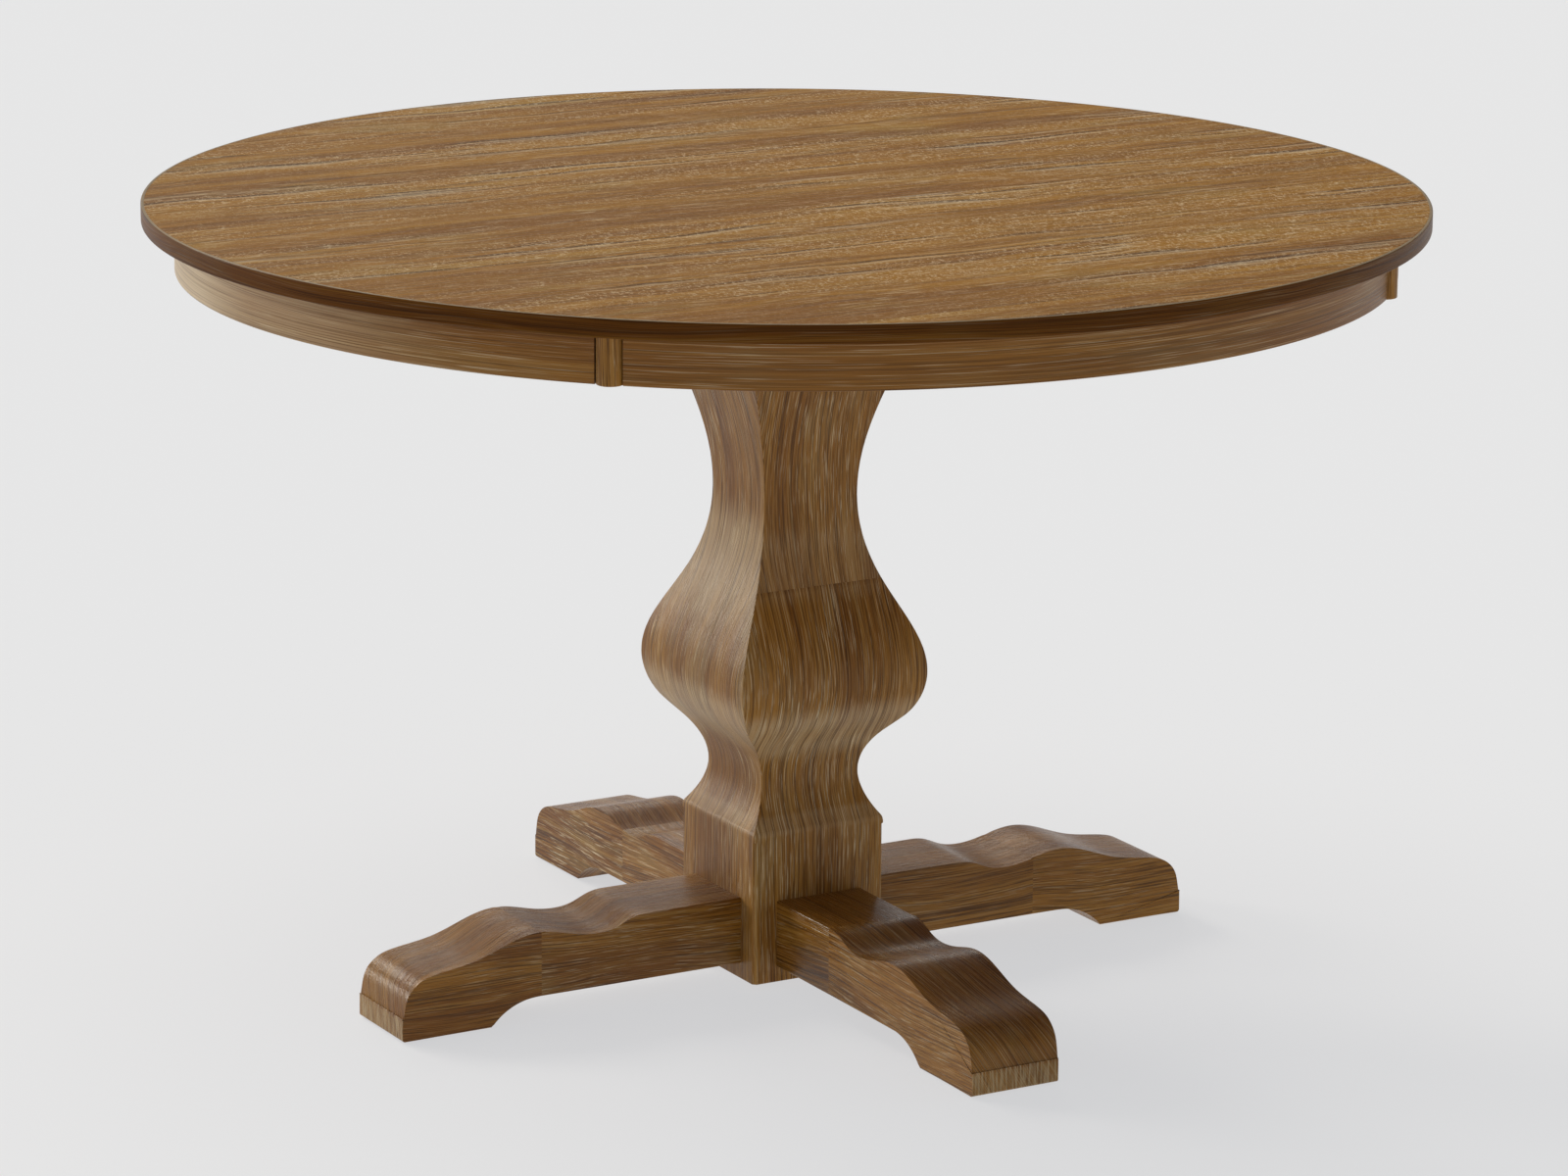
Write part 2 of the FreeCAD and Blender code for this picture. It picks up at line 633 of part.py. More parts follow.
def column_nodes():
    nodes = {}
    dowels = []
    lower = stave(COLUMN_FOOT_Z, COLUMN_JOINT_Z).cut(hanger_holes() + leg_dowels(FIT) + [stave_dowel(FIT)])
    upper = stave(COLUMN_JOINT_Z, PLATE_Z).cut(stave_dowel(FIT))
    for side, angle in SIDES.items():
        nodes["column_stave_lower_" + side] = turned(lower, angle)
        nodes["column_stave_upper_" + side] = turned(upper, angle)
        dowels.append(turned(stave_dowel(), angle))
    nuts, washers = tie_rod_hardware()
    nodes["column_dowels"] = Part.makeCompound(dowels)
    nodes["plinth_block"] = plinth_block()
    nodes["tie_rod"] = tie_rod()
    nodes["tie_rod_nuts"] = Part.makeCompound(nuts)
    nodes["tie_rod_washers"] = Part.makeCompound(washers)
    return nodes


def leg_nodes():
    nodes = {}
    groups = {name: [] for name in ("hanger_bolts", "hanger_nuts", "hanger_washers", "leg_dowels",
                                    "leg_splice_dowels", "glide_inserts")}
    nuts, washers = hanger_hardware()
    for side, angle in SIDES.items():
        inner, outer = leg_pieces(LEG_JOINT[side])
        nodes["leg_inner_" + side] = turned(inner, angle)
        nodes["leg_outer_" + side] = turned(outer, angle)
        nodes["glide_pad_" + side] = turned(glide_pad(), angle)
        nodes["glide_screw_" + side] = turned(glide_screw(), angle)
        groups["hanger_bolts"] += [turned(s, angle) for s in hanger_bolts()]
        groups["hanger_nuts"] += [turned(s, angle) for s in nuts]
        groups["hanger_washers"] += [turned(s, angle) for s in washers]
        groups["leg_dowels"] += [turned(s, angle) for s in leg_dowels()]
        groups["leg_splice_dowels"] += [turned(s, angle) for s in splice_dowels(LEG_JOINT[side])]
        groups["glide_inserts"].append(turned(glide_insert(), angle))
    for name, shapes in groups.items():
        nodes[name] = Part.makeCompound(shapes)
    return nodes


def main():
    os.makedirs("parts", exist_ok=True)
    nodes = {}
    for make in (top_nodes, apron_nodes, frame_nodes, column_nodes, leg_nodes):
        nodes.update(make())
    for name, shape in nodes.items():
        solids = shape.Solids
        if not shape.isValid() or not solids:
            raise ValueError(name + " is not a valid solid")
        part = solids[0] if len(solids) == 1 else Part.makeCompound(solids)
        part.exportStep("parts/" + name + ".step")
        print(name, len(solids), round(sum(s.Volume for s in solids)))
    print(len(nodes), "nodes")


main()
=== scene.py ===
import math
import bmesh
import bpy
from mathutils import Matrix, Vector
from mathutils.bvhtree import BVHTree


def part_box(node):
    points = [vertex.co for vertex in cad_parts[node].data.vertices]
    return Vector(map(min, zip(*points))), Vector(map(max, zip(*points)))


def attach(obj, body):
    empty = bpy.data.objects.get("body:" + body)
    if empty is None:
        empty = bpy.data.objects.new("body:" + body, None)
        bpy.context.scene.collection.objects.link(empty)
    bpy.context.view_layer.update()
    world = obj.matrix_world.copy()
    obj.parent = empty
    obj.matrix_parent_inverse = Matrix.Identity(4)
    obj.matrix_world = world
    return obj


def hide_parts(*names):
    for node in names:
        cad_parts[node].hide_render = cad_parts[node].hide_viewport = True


# Round pedestal table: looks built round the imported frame. Lengths are in metres.
MM = 0.001

# Sides of the table, as angles from +X. Pieces are drawn on the +X side and turned to their place.
SIDES = {"right": 0, "back": 90, "left": 180, "front": 270}
CORNERS = {"back_right": 45, "back_left": 135, "front_left": 225, "front_right": 315}

# Camera: its angle round the table, distance, height, downward tilt, roll and lens
CAMERA_AZIMUTH = -29.75
CAMERA_DISTANCE = 5.459
CAMERA_HEIGHT = 1.756
CAMERA_PITCH = 14.23
CAMERA_ROLL = 0.412
CAMERA_LENS = 136.94
CAMERA_CLIP = 200

# Made shapes
ROUND_STEPS = 720
RAIL_STEPS = 160
ARRIS_STEPS = 4
SHARP_ANGLE = math.radians(34)
VENEER_EASE = 0.2 * MM
LIP_ARRIS = 1.3 * MM
RAIL_ARRIS = 1.5 * MM
RAIL_GAP = 0.1 * MM
PLINTH_CHAMFER = 3.2 * MM
PLINTH_TOP = 152.5 * MM
# The chamfer's points as shares of its size: back from the face, and from the corner
CHAMFER_POINTS = ((0, 1), (0.06, 0.92), (0.25, 0.75), (0.4, 0.6), (0.5, 0.5))
# Where a stave's face has more points, as shares of the way to its arris
FACE_POINTS = (0.66, 0.33)
# A stave's inner edge stays this share of the way to the mitre
INNER_SHARE = 0.999
COLUMN_ARRIS = 1.4 * MM
PLINTH_ARRIS = 0.6 * COLUMN_ARRIS
COLUMN_STEP = 4 * MM
ROW_ROOM = 1.5 * MM
# Heights of more rows, in millimetres, where the column's outline turns quickly
TURN_HEIGHTS = (144, 147, 149.3, 150.4, 151.5, 152.5, 153.2, 154, 155, 156, 157, 158, 159, 160,
                637, 639, 641, 643, 644, 645, 646)
JOINT_GROOVE = 0.1 * MM
FOOT_CHAMFER = 0.8 * MM
LEG_ARRIS = 1.1 * MM
LEG_ARRIS_STEPS = 3

# How close two lengths are when they count as one: for a plane, a height and an upright edge
SAME_PLANE = 1e-5
SAME_HEIGHT = 1e-6
SAME_EDGE = 1e-7

# Rays that measure a stave start beyond it and pass beside its bolt and dowel holes
REACH = 2.0
STAVE_PROBE = 15 * MM
PROBE_INSET = 0.02 * MM


# ---- reading the frame ----

def turn(angle):
    """Rotation about the table's axis by an angle in degrees."""
    return Matrix.Rotation(math.radians(angle), 4, "Z")


def hit(tree, start, direction):
    """Where a ray first meets a tree's surface."""
    return tree.ray_cast(Vector(start), Vector(direction))[0]


def tree_of(node):
    """A tree for casting rays at a CAD node's mesh."""
    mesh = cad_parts[node].data
    return BVHTree.FromPolygons([v.co for v in mesh.vertices], [p.vertices for p in mesh.polygons])


def side_outline(node, angle):
    """The outline of a leg block's flat side as (x, z) points in order, and half its width."""
    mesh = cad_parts[node].data
    back = turn(-angle)
    places = [back @ v.co for v in mesh.vertices]
    half = max(p.y for p in places)
    edges = set()
    for polygon in mesh.polygons:
        if any(abs(places[i].y - half) > SAME_PLANE for i in polygon.vertices):
            continue
        corners = [(round(places[i].x, 6), round(places[i].z, 6)) for i in polygon.vertices]
        for a, b in zip(corners, corners[1:] + corners[:1]):
            if a == b:
                continue
            if (b, a) in edges:
                edges.remove((b, a))
            else:
                edges.add((a, b))
    following = dict(edges)
    loop = [min(following)]
    while following[loop[-1]] != loop[0]:
        loop.append(following[loop[-1]])
    return loop, half


# ---- making meshes ----

def new_piece(name, bm, material, node, body="table"):
    """An object from a bmesh that rides on a body and stands for a CAD node."""
    bmesh.ops.recalc_face_normals(bm, faces=bm.faces)
    mesh = bpy.data.meshes.new(name)
    bm.to_mesh(mesh)
    bm.free()
    mesh.shade_smooth()
    mesh.set_sharp_from_angle(angle=SHARP_ANGLE)
    piece = bpy.data.objects.new(name, mesh)
    bpy.context.scene.collection.objects.link(piece)
    mesh.materials.append(material)
    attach(piece, body)
    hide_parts(node)


def closed_rows(bm, rows):
    """Quads between rows of points, each row a closed loop, with a cap on the first and last."""
    loops = [[bm.verts.new(p) for p in row] for row in rows]
    for low, high in zip(loops, loops[1:]):
        for i in range(len(low)):
            j = (i + 1) % len(low)
            bm.faces.new((low[i], low[j], high[j], high[i]))
    bm.faces.new(loops[0])
    bm.faces.new(loops[-1])


def ring_rows(bm, outline):
    """A full ring turned from a closed outline of (radius, height) points."""
    rows = []
    for i in range(ROUND_STEPS):
        angle = 2 * math.pi * i / ROUND_STEPS
        across, along = math.cos(angle), math.sin(angle)
        rows.append([bm.verts.new((r * across, r * along, z)) for r, z in outline])
    for i in range(ROUND_STEPS):
        low, high = rows[i], rows[(i + 1) % ROUND_STEPS]
        for k in range(len(outline)):
            m = (k + 1) % len(outline)
            bm.faces.new((low[k], low[m], high[m], high[k]))


def rounding(corner, start, end):
    """Points of a quarter round that goes from start to end round a corner."""
    corner, start, end = Vector(corner), Vector(start), Vector(end)
    centre = start + end - corner
    points = []
    for i in range(ARRIS_STEPS + 1):
        t = math.pi / 2 * i / ARRIS_STEPS
        points.append(tuple(centre + (start - centre) * math.cos(t) + (end - centre) * math.sin(t)))
    return points


# ---- top ----

def make_top():
    """The face veneer, eased a little at its edge, and the lipping round it."""
    low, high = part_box("top_face_veneer")
    rim = []
    for i in range(ROUND_STEPS):
        angle = 2 * math.pi * i / ROUND_STEPS
        rim.append((high.x * math.cos(angle), high.x * math.sin(angle)))
    shrink = 1 - VENEER_EASE / high.x
    rows = [[(x, y, low.z) for x, y in rim],
            [(x, y, high.z - VENEER_EASE) for x, y in rim],
            [(x * shrink, y * shrink, high.z) for x, y in rim]]
    bm = bmesh.new()
    closed_rows(bm, rows)
    new_piece("top_surface", bm, materials["top"], "top_face_veneer")

    low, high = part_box("top_edge_lipping")
    inner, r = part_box("top_face_veneer")[1].x, high.x
    outline = [
        (inner, low.z),
        *rounding((r, low.z), (r - LIP_ARRIS, low.z), (r, low.z + LIP_ARRIS)),
        *rounding((r, high.z), (r, high.z - LIP_ARRIS), (r - LIP_ARRIS, high.z)),
        (inner + VENEER_EASE, high.z),
        (inner, high.z - VENEER_EASE),
    ]
    bm = bmesh.new()
    ring_rows(bm, outline)
    new_piece("top_edge", bm, materials["edge"], "top_edge_lipping")


# ---- apron ----

def make_rails():
    """The four curved rails, with the bearers' ends just inside them."""
    low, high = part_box("apron_rail_right")
    outer, inner = high.x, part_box("bearer_lengthwise")[1].x + RAIL_GAP
    corner = math.radians(45)
    end = math.atan2(high.y, math.sqrt(outer ** 2 - high.y ** 2))
    # half the room between two rails' ends, for a pilaster
    gap = outer * math.sin(corner - end)
    arris_z = low.z + RAIL_ARRIS
    outline = [
        (inner, high.z),
        *rounding((inner, low.z), (inner, arris_z), (inner + RAIL_ARRIS, low.z)),
        *rounding((outer, low.z), (outer - RAIL_ARRIS, low.z), (outer, arris_z)),
        (outer, high.z),
    ]
    for side, angle in SIDES.items():
        rows = []
        for i in range(RAIL_STEPS + 1):
            share = 2 * i / RAIL_STEPS - 1
            row = []
            for radius, z in outline:
                reach = corner - math.asin(gap / radius)
                place = math.radians(angle) + share * reach
                row.append((radius * math.cos(place), radius * math.sin(place), z))
            rows.append(row)
        bm = bmesh.new()
        closed_rows(bm, rows)
        new_piece("apron_" + side, bm, materials["apron_" + side], "apron_rail_" + side)


# ---- column ----

def column_heights(low, high, groove_low, groove_high):
    """Heights of a stave's rows, closer together where the outline turns quickly."""
    heights = {low, high}
    z = math.ceil(low / COLUMN_STEP) * COLUMN_STEP
    while z < high:
        heights.add(z)
        z += COLUMN_STEP
    heights.update(z * MM for z in TURN_HEIGHTS if low < z * MM < high)
    heights = [z for z in sorted(heights)
               if z in (low, high) or low + ROW_ROOM < z < high - ROW_ROOM]
    if groove_low:
        heights.insert(1, low + groove_low)
    if groove_high:
        heights.insert(-1, high - groove_high)
    return heights


def corner_points(p, z):
    """Points of the arris beside (p, p), from the face to the mitre."""
    if z < PLINTH_TOP - PLINTH_CHAMFER - SAME_HEIGHT:
        return [(p - face * PLINTH_CHAMFER, p - corner * PLINTH_CHAMFER)
                for face, corner in CHAMFER_POINTS]
    size = PLINTH_ARRIS if z < PLINTH_TOP else COLUMN_ARRIS
    points = []
    for i in range(ARRIS_STEPS + 1):
        t = math.radians(45) * i / ARRIS_STEPS
        points.append((p - size + size * math.cos(t), p - size + size * math.sin(t)))
    return points


def stave_rows(part, ends):
    """Rows of points up a stave on the +X side, with its ends drawn in by the given amounts."""
    node = "column_stave_" + part + "_right"
    tree = tree_of(node)
    low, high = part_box(node)
    heights = column_heights(low.z, high.z, *ends)
    rows = []
    for k, z in enumerate(heights):
        level = min(max(z, low.z + PROBE_INSET), high.z - PROBE_INSET)
        p = hit(tree, (REACH, STAVE_PROBE, level), (-1, 0, 0)).x
        inside = hit(tree, (0, STAVE_PROBE, level), (1, 0, 0)).x
        if k == 0:
            p -= ends[0]
        if k == len(heights) - 1:
            p -= ends[1]
        half = [
            (inside, inside * INNER_SHARE),
            *reversed(corner_points(p, z)),
            *((p, (p - PLINTH_CHAMFER) * share) for share in FACE_POINTS),
        ]
        row = [(x, y, z) for x, y in half]
        rows.append(row + [(p, 0, z)] + [(x, -y, z) for x, y, z in reversed(row)])
    return rows


def make_staves():
    """The column's four sides, each in two parts."""
    for side, angle in SIDES.items():
        # the joint between the two parts only shows on the front
        groove = JOINT_GROOVE if side == "front" else 0
        for part, ends in (("lower", (FOOT_CHAMFER, groove)), ("upper", (groove, 0))):
            name = part + "_" + side
            bm = bmesh.new()
            closed_rows(bm, stave_rows(part, ends))
            bm.transform(turn(angle))
            new_piece("column_" + name, bm, materials["column_" + name], "column_stave_" + name)


# ---- legs ----

def make_legs():
    """Two blocks for each leg, rounded along their outline but not where they meet a neighbour."""
    for side, angle in SIDES.items():
        for block in ("inner", "outer"):
            node = "leg_" + block + "_" + side
            outline, half = side_outline(node, angle)
            start, end = min(outline)[0], max(outline)[0]
            glued = (start, end) if block == "inner" else (start,)
            bm = bmesh.new()
            closed_rows(bm, [[(x, y, z) for x, z in outline] for y in (half, -half)])
            rounded = []
            for edge in bm.edges:
                a, b = (vertex.co for vertex in edge.verts)
                upright = abs(a.x - b.x) < SAME_EDGE
                in_joint = upright and any(abs(a.x - x) < SAME_PLANE for x in glued)
                if a.y == b.y and not in_joint:
                    rounded.append(edge)
            bmesh.ops.bevel(bm, geom=rounded, offset=LEG_ARRIS, offset_type="OFFSET",
                            segments=LEG_ARRIS_STEPS, profile=0.5, affect="EDGES",
                            clamp_overlap=False)
            bm.transform(turn(angle))
            new_piece("leg_" + block + "_block_" + side, bm, materials["leg_" + block + "_" + side],
                      node)


# ---- materials ----

class Tree:
    """A material, with helpers that add shader nodes and join them."""

    def __init__(self, name):
        self.material = bpy.data.materials.new(name)
        self.material.use_nodes = True
        self.nodes = self.material.node_tree.nodes
        self.links = self.material.node_tree.links
        self.shader = self.nodes["Principled BSDF"]

    def set(self, socket, value):
        """Join a socket to another node's output, or give it a constant."""
        if isinstance(value, bpy.types.NodeSocket):
            self.links.new(value, socket)
        elif value is not None:
            socket.default_value = value

    def math(self, kind, a, b=None, c=None, clamp=False):
        node = self.nodes.new("ShaderNodeMath")
        node.operation = kind
        node.use_clamp = clamp
        for socket, value in zip(node.inputs, (a, b, c)):
            self.set(socket, value)
        return node.outputs[0]

    def times(self, a, b):
        return self.math("MULTIPLY", a, b)

    def times_plus(self, a, b, c):
        return self.math("MULTIPLY_ADD", a, b, c)

    def combine(self, x, y, z):
        node = self.nodes.new("ShaderNodeCombineXYZ")
        for socket, value in zip(node.inputs, (x, y, z)):
            self.set(socket, value)
        return node.outputs[0]

    def noise(self, vector, detail, roughness, scale=1.0):
        node = self.nodes.new("ShaderNodeTexNoise")
        self.set(node.inputs["Vector"], vector)
        node.inputs["Scale"].default_value = scale
        node.inputs["Detail"].default_value = detail
        node.inputs["Roughness"].default_value = roughness
        return node.outputs["Fac"]

    def ramp(self, value, low, high, to_low=0.0, to_high=1.0):
        """A smooth step from low to high."""
        node = self.nodes.new("ShaderNodeMapRange")
        node.interpolation_type = "SMOOTHSTEP"
        for socket, number in zip(node.inputs[:5], (value, low, high, to_low, to_high)):
            self.set(socket, number)
        return node.outputs[0]

    def mix(self, share, a, b, kind="MIX"):
        """Colour a changed towards colour b."""
        node = self.nodes.new("ShaderNodeMix")
        node.data_type = "RGBA"
        node.blend_type = kind
        self.set(node.inputs[0], share)
        self.set(node.inputs[6], a)
        self.set(node.inputs[7], b)
        return node.outputs[2]

    def position(self):
        """The point on the surface, in the table's frame."""
        return self.nodes.new("ShaderNodeTexCoord").outputs["Object"]

    def coordinates(self):
        """The point on the surface as x, y and z."""
        node = self.nodes.new("ShaderNodeSeparateXYZ")
        self.set(node.inputs[0], self.position())
        return node.outputs

    def bump(self, height, distance, strength):
        node = self.nodes.new("ShaderNodeBump")
        self.set(node.inputs["Height"], height)
        node.inputs["Distance"].default_value = distance
        node.inputs["Strength"].default_value = strength
        return node.outputs[0]


def srgb(code):
    """A linear colour from a hexadecimal sRGB code."""
    parts = [int(code[i:i + 2], 16) / 255 for i in (0, 2, 4)]
    linear = [p / 12.92 if p <= 0.04045 else ((p + 0.055) / 1.055) ** 2.4 for p in parts]
    return (*linear, 1.0)


# The wood's colours: pores, two shades of oak, its pale rings, lime worn thin and thick lime, which
# also paints highlights
OAK = {
    "deep": srgb("44290E"),
    "brown": srgb("80521B"),
    "gold": srgb("9B6C2A"),
    "tan": srgb("B48B4A"),
    "haze": srgb("A58F62"),
    "lime": srgb("DCC9A6"),
}
DARK_STAIN = srgb("2E1706")
BLACK = (0.0, 0.0, 0.0, 1.0)
SHEEN_TINT = (0.95, 0.88, 0.76, 1)
SHEEN_ROUGHNESS = 0.35

# Bump of the wood: height in metres and strength
GRAIN_HEIGHT = 0.001
GRAIN_BUMP = 0.5

# How far one seed moves the noise, and how far one veneer leaf is from the next in the log
SEED_SHIFT = 1.37
LEAF_ALONG = 0.045
LEAF_DEPTH = 0.11

# The figure of the top: a dark line and a pale one beside it, as (offset, colour, amount)
FIGURE_LINES = ((0.0, "deep", 0.85), (0.006, "lime", 0.28))


class Grain:
    """Coordinates in a piece of wood, in metres, and noise drawn out along its grain."""

    def __init__(self, t, axes, seed, slant, wander, bend, stretch, fine, leaf):
        self.t, self.shift, self.stretch, self.fine = t, seed * SEED_SHIFT, stretch, fine
        self.along, self.across, self.depth = axes(t)
        if leaf:
            self.cut_leaves(leaf)
        line = t.times_plus(self.depth, slant, self.across)
        place = t.combine(t.times_plus(self.along, bend, self.shift), t.times(line, 9.0),
                          t.times(self.depth, 5.0))
        self.line = t.times_plus(t.noise(place, 2.0, 0.5), wander, line)

    def cut_leaves(self, width):
        """Veneer is laid in leaves cut one after another, so each is nearly like its neighbour."""
        t = self.t
        place = t.times_plus(self.across, 1 / width, 0.5)
        number = t.math("FLOOR", place)
        self.within = t.math("SUBTRACT", place, number)
        self.across = t.times(self.within, width)
        self.along = t.times_plus(number, LEAF_ALONG, self.along)
        self.depth = t.times(number, LEAF_DEPTH)

    def streaks(self, long, wide, detail, roughness):
        """Noise with so many streaks in a metre along the grain and across it."""
        t = self.t
        return t.noise(t.combine(t.times_plus(self.along, long * self.stretch, self.shift),
                                 t.times_plus(self.line, wide, self.shift),
                                 t.times_plus(self.depth, 6.0, self.shift)), detail, roughness)

    def lines(self, long, wide, detail, roughness):
        """Streaks that get closer together in finer wood."""
        return self.streaks(long, wide * self.fine, detail, roughness)

    def cloud(self):
        """Soft patches, a little longer along the grain."""
        t = self.t
        return t.noise(t.combine(t.times_plus(self.along, 6.0, self.shift),
                                 t.times(self.line, 16.0),
                                 t.times(self.depth, 16.0)), 3.0, 0.6)


def add_figure(grain, tone):
    """Long thin dark lines, each with a pale line beside it, and a scatter of pale flecks: lime in
    part, and in part painted glints.
    """
    t = grain.t
    shown = t.ramp(grain.streaks(1.0, 16.0, 2.0, 0.55), 0.42, 0.56)
    for offset, colour, amount in FIGURE_LINES:
        place = t.combine(t.times_plus(grain.along, 3.2, grain.shift),
                          t.times(t.math("ADD", grain.line, offset), 75.0),
                          t.times_plus(grain.depth, 6.0, grain.shift))
        thin = t.ramp(t.noise(place, 2.0, 0.5), 0.58, 0.65, 0.0, amount)
        tone = t.mix(t.times(thin, shown), tone, OAK[colour])
    # pale lime flecks that also stand in for tiny glints: partly painted highlight
    place = t.combine(t.times(grain.along, 340.0), t.times(grain.line, 230.0), grain.shift)
    lime_and_glint_flecks = t.ramp(t.noise(place, 3.0, 0.75), 0.50, 0.68)
    share = t.ramp(grain.streaks(1.1, 18.0, 2.0, 0.55), 0.40, 0.62, 0.15, 0.60)
    return t.mix(t.times(lime_and_glint_flecks, share), tone, OAK["lime"])


def add_lime_and_light_bands(grain, tone, lime_and_light_bands, fibre):
    """More lime between two places along the grain, with soft ends: partly painted highlight and
    painted light.
    """
    t = grain.t
    for low, high, amount in lime_and_light_bands:
        soft = 0.3 * (high - low)
        band = t.times(t.ramp(grain.along, low, low + soft), t.ramp(grain.along, high, high - soft))
        band = t.times(band, t.ramp(fibre, 0.36, 0.58, 0.35 * amount, amount))
        tone = t.mix(band, tone, OAK["lime"])
    return tone


def add_leaf_joints(grain, tone):
    """A broken dark line between two leaves of veneer."""
    t = grain.t
    edge = t.math("ABSOLUTE", t.math("SUBTRACT", grain.within, 0.5))
    worn = t.ramp(grain.lines(5.0, 2.0, 2.0, 0.55), 0.42, 0.62)
    return t.mix(t.times(t.ramp(edge, 0.490, 0.495, 0.0, 0.45), worn), tone, OAK["deep"])


def add_end_grain(grain, tone, place, top):
    """Limed end grain past a place along the piece, with a pale band on it below a height."""
    t = grain.t
    z = t.coordinates()[2]
    cut = t.noise(t.combine(t.times(grain.across, 500.0), t.times(z, 35.0), grain.shift), 3.0, 0.6)
    ends = t.ramp(grain.along, place - 0.9 * MM, place - 0.4 * MM)
    tone = t.mix(t.times(ends, t.ramp(cut, 0.45, 0.66, 0.0, 0.38)), tone, OAK["lime"])
    foot = t.times(ends, t.ramp(z, top, top - 1.5 * MM))
    return t.mix(t.times(foot, t.ramp(cut, 0.3, 0.6, 0.05, 0.34)), tone, OAK["haze"])


def wood(name, axes, seed, dark=0.0, lime=0.5, contrast=1.0, tint=None, roughness=0.36, gloss=0.18,
         sheen=0.08, slant=0.0, wander=0.03, bend=2.4, stretch=1.0, fine=1.0, leaf=0.0,
         figure=False, lime_and_light_bands=(), end=None, arris=None):
    """A material of limed oak.

    axes gives the coordinates along the grain, across it and into the wood, in metres, and seed
    sets one piece apart from another. dark is the share of dark stain, lime the amount of lime,
    contrast the strength of rings and pores, and tint multiplies the bare wood's colour.
    slant moves the grain sideways with depth; wander and bend are how far and how often it drifts;
    stretch and fine are more streaks along it and across it. leaf is the width of a veneer leaf and
    figure adds a figure to it. lime_and_light_bands are places with more lime, partly painted
    highlight and painted light, as (low, high, amount) along the grain; end is where end grain
    starts and how high its pale band goes; arris is a height above which the edge is paler."""
    t = Tree(name)
    grain = Grain(t, axes, seed, slant, wander, bend, stretch, fine, leaf)
    broad = grain.streaks(1.3, 24.0, 3.0, 0.55)
    rings = grain.lines(2.4, 230.0, 3.0, 0.6)
    fibre = grain.lines(7.0, 800.0, 3.0, 0.65)
    flecks = grain.lines(28.0, 1050.0, 2.0, 0.6)
    cloud = grain.cloud()

    # bare wood
    tone = t.mix(t.ramp(broad, 0.36, 0.62), OAK["brown"], OAK["gold"])
    tone = t.mix(t.ramp(rings, 0.52, 0.68, 0.0, 0.35 * contrast), tone, OAK["tan"])
    tone = t.mix(t.ramp(rings, 0.45, 0.30, 0.0, 0.50 * contrast), tone, OAK["deep"])
    tone = t.mix(t.ramp(fibre, 0.50, 0.38, 0.0, 0.75 * contrast), tone, OAK["deep"])
    tone = t.mix(t.ramp(flecks, 0.45, 0.36, 0.0, 0.45 * contrast), tone, OAK["deep"])

    # thin lime
    tone = t.mix(t.ramp(fibre, 0.54, 0.66, 0.0, 0.45 * contrast * lime), tone, OAK["haze"])
    tone = t.mix(t.times(t.ramp(cloud, 0.50, 0.74), 0.45 * lime), tone, OAK["haze"])
    if tint:
        tone = t.mix(1.0, tone, tint, "MULTIPLY")
    if figure:
        tone = add_figure(grain, tone)

    # lime in the pores
    limed = t.times(t.ramp(flecks, 0.57, 0.66), t.ramp(cloud, 0.36, 0.60, 0.35, 1.0))
    limed = t.math("MULTIPLY", limed, 0.8 * lime, clamp=True)
    tone = t.mix(limed, tone, OAK["lime"])

    # lime bands, partly painted highlight and painted light
    tone = add_lime_and_light_bands(grain, tone, lime_and_light_bands, fibre)
    if leaf:
        tone = add_leaf_joints(grain, tone)
    if end:
        tone = add_end_grain(grain, tone, *end)
    if arris:
        # the top arris is paler above this height
        z = t.coordinates()[2]
        tone = t.mix(t.ramp(z, arris, arris + 0.3 * MM, 0.0, 0.8), tone, OAK["lime"])
    if dark:
        tone = t.mix(dark, tone, DARK_STAIN)

    t.set(t.shader.inputs["Base Color"], tone)
    t.set(t.shader.inputs["Roughness"], t.times_plus(fibre, 0.30, roughness - 0.15))
    t.shader.inputs["Specular IOR Level"].default_value = gloss
    t.shader.inputs["Sheen Weight"].default_value = sheen
    t.shader.inputs["Sheen Roughness"].default_value = SHEEN_ROUGHNESS
    t.shader.inputs["Sheen Tint"].default_value = SHEEN_TINT
    height = t.times_plus(flecks, 0.4, t.times_plus(fibre, 0.6, t.times(rings, 0.8)))
    t.set(t.shader.inputs["Normal"], t.bump(height, GRAIN_HEIGHT, GRAIN_BUMP))
    return t.material


def turned_axes(t, angle):
    """Coordinates away from the table's axis towards an angle, sideways, and up."""
    cosine, sine = math.cos(math.radians(angle)), math.sin(math.radians(angle))
    x, y, z = t.coordinates()
    out = t.math("ADD", t.times(x, cosine), t.times(y, sine))
    wide = t.math("SUBTRACT", t.times(y, cosine), t.times(x, sine))
    return out, wide, z


def straight(angle, along):
    """Grain coordinates for a piece on the side at an angle: along is 'up' or 'out'."""
    def axes(t):
        out, wide, z = turned_axes(t, angle)
        return (z, wide, out) if along == "up" else (out, wide, z)

    return axes


def round_grain(angle, radius):
    """Grain coordinates that follow the rim, with their seam opposite an angle."""
    def axes(t):
        out, wide, z = turned_axes(t, angle)
        round_rim = t.times(t.math("ARCTAN2", wide, out), radius)
        far = t.math("SQRT", t.math("ADD", t.times(out, out), t.times(wide, wide)))
        return round_rim, z, far

    return axes


def lengthwise(t):
    """Grain coordinates of the top: along X."""
    x, y, z = t.coordinates()
    return x, y, z


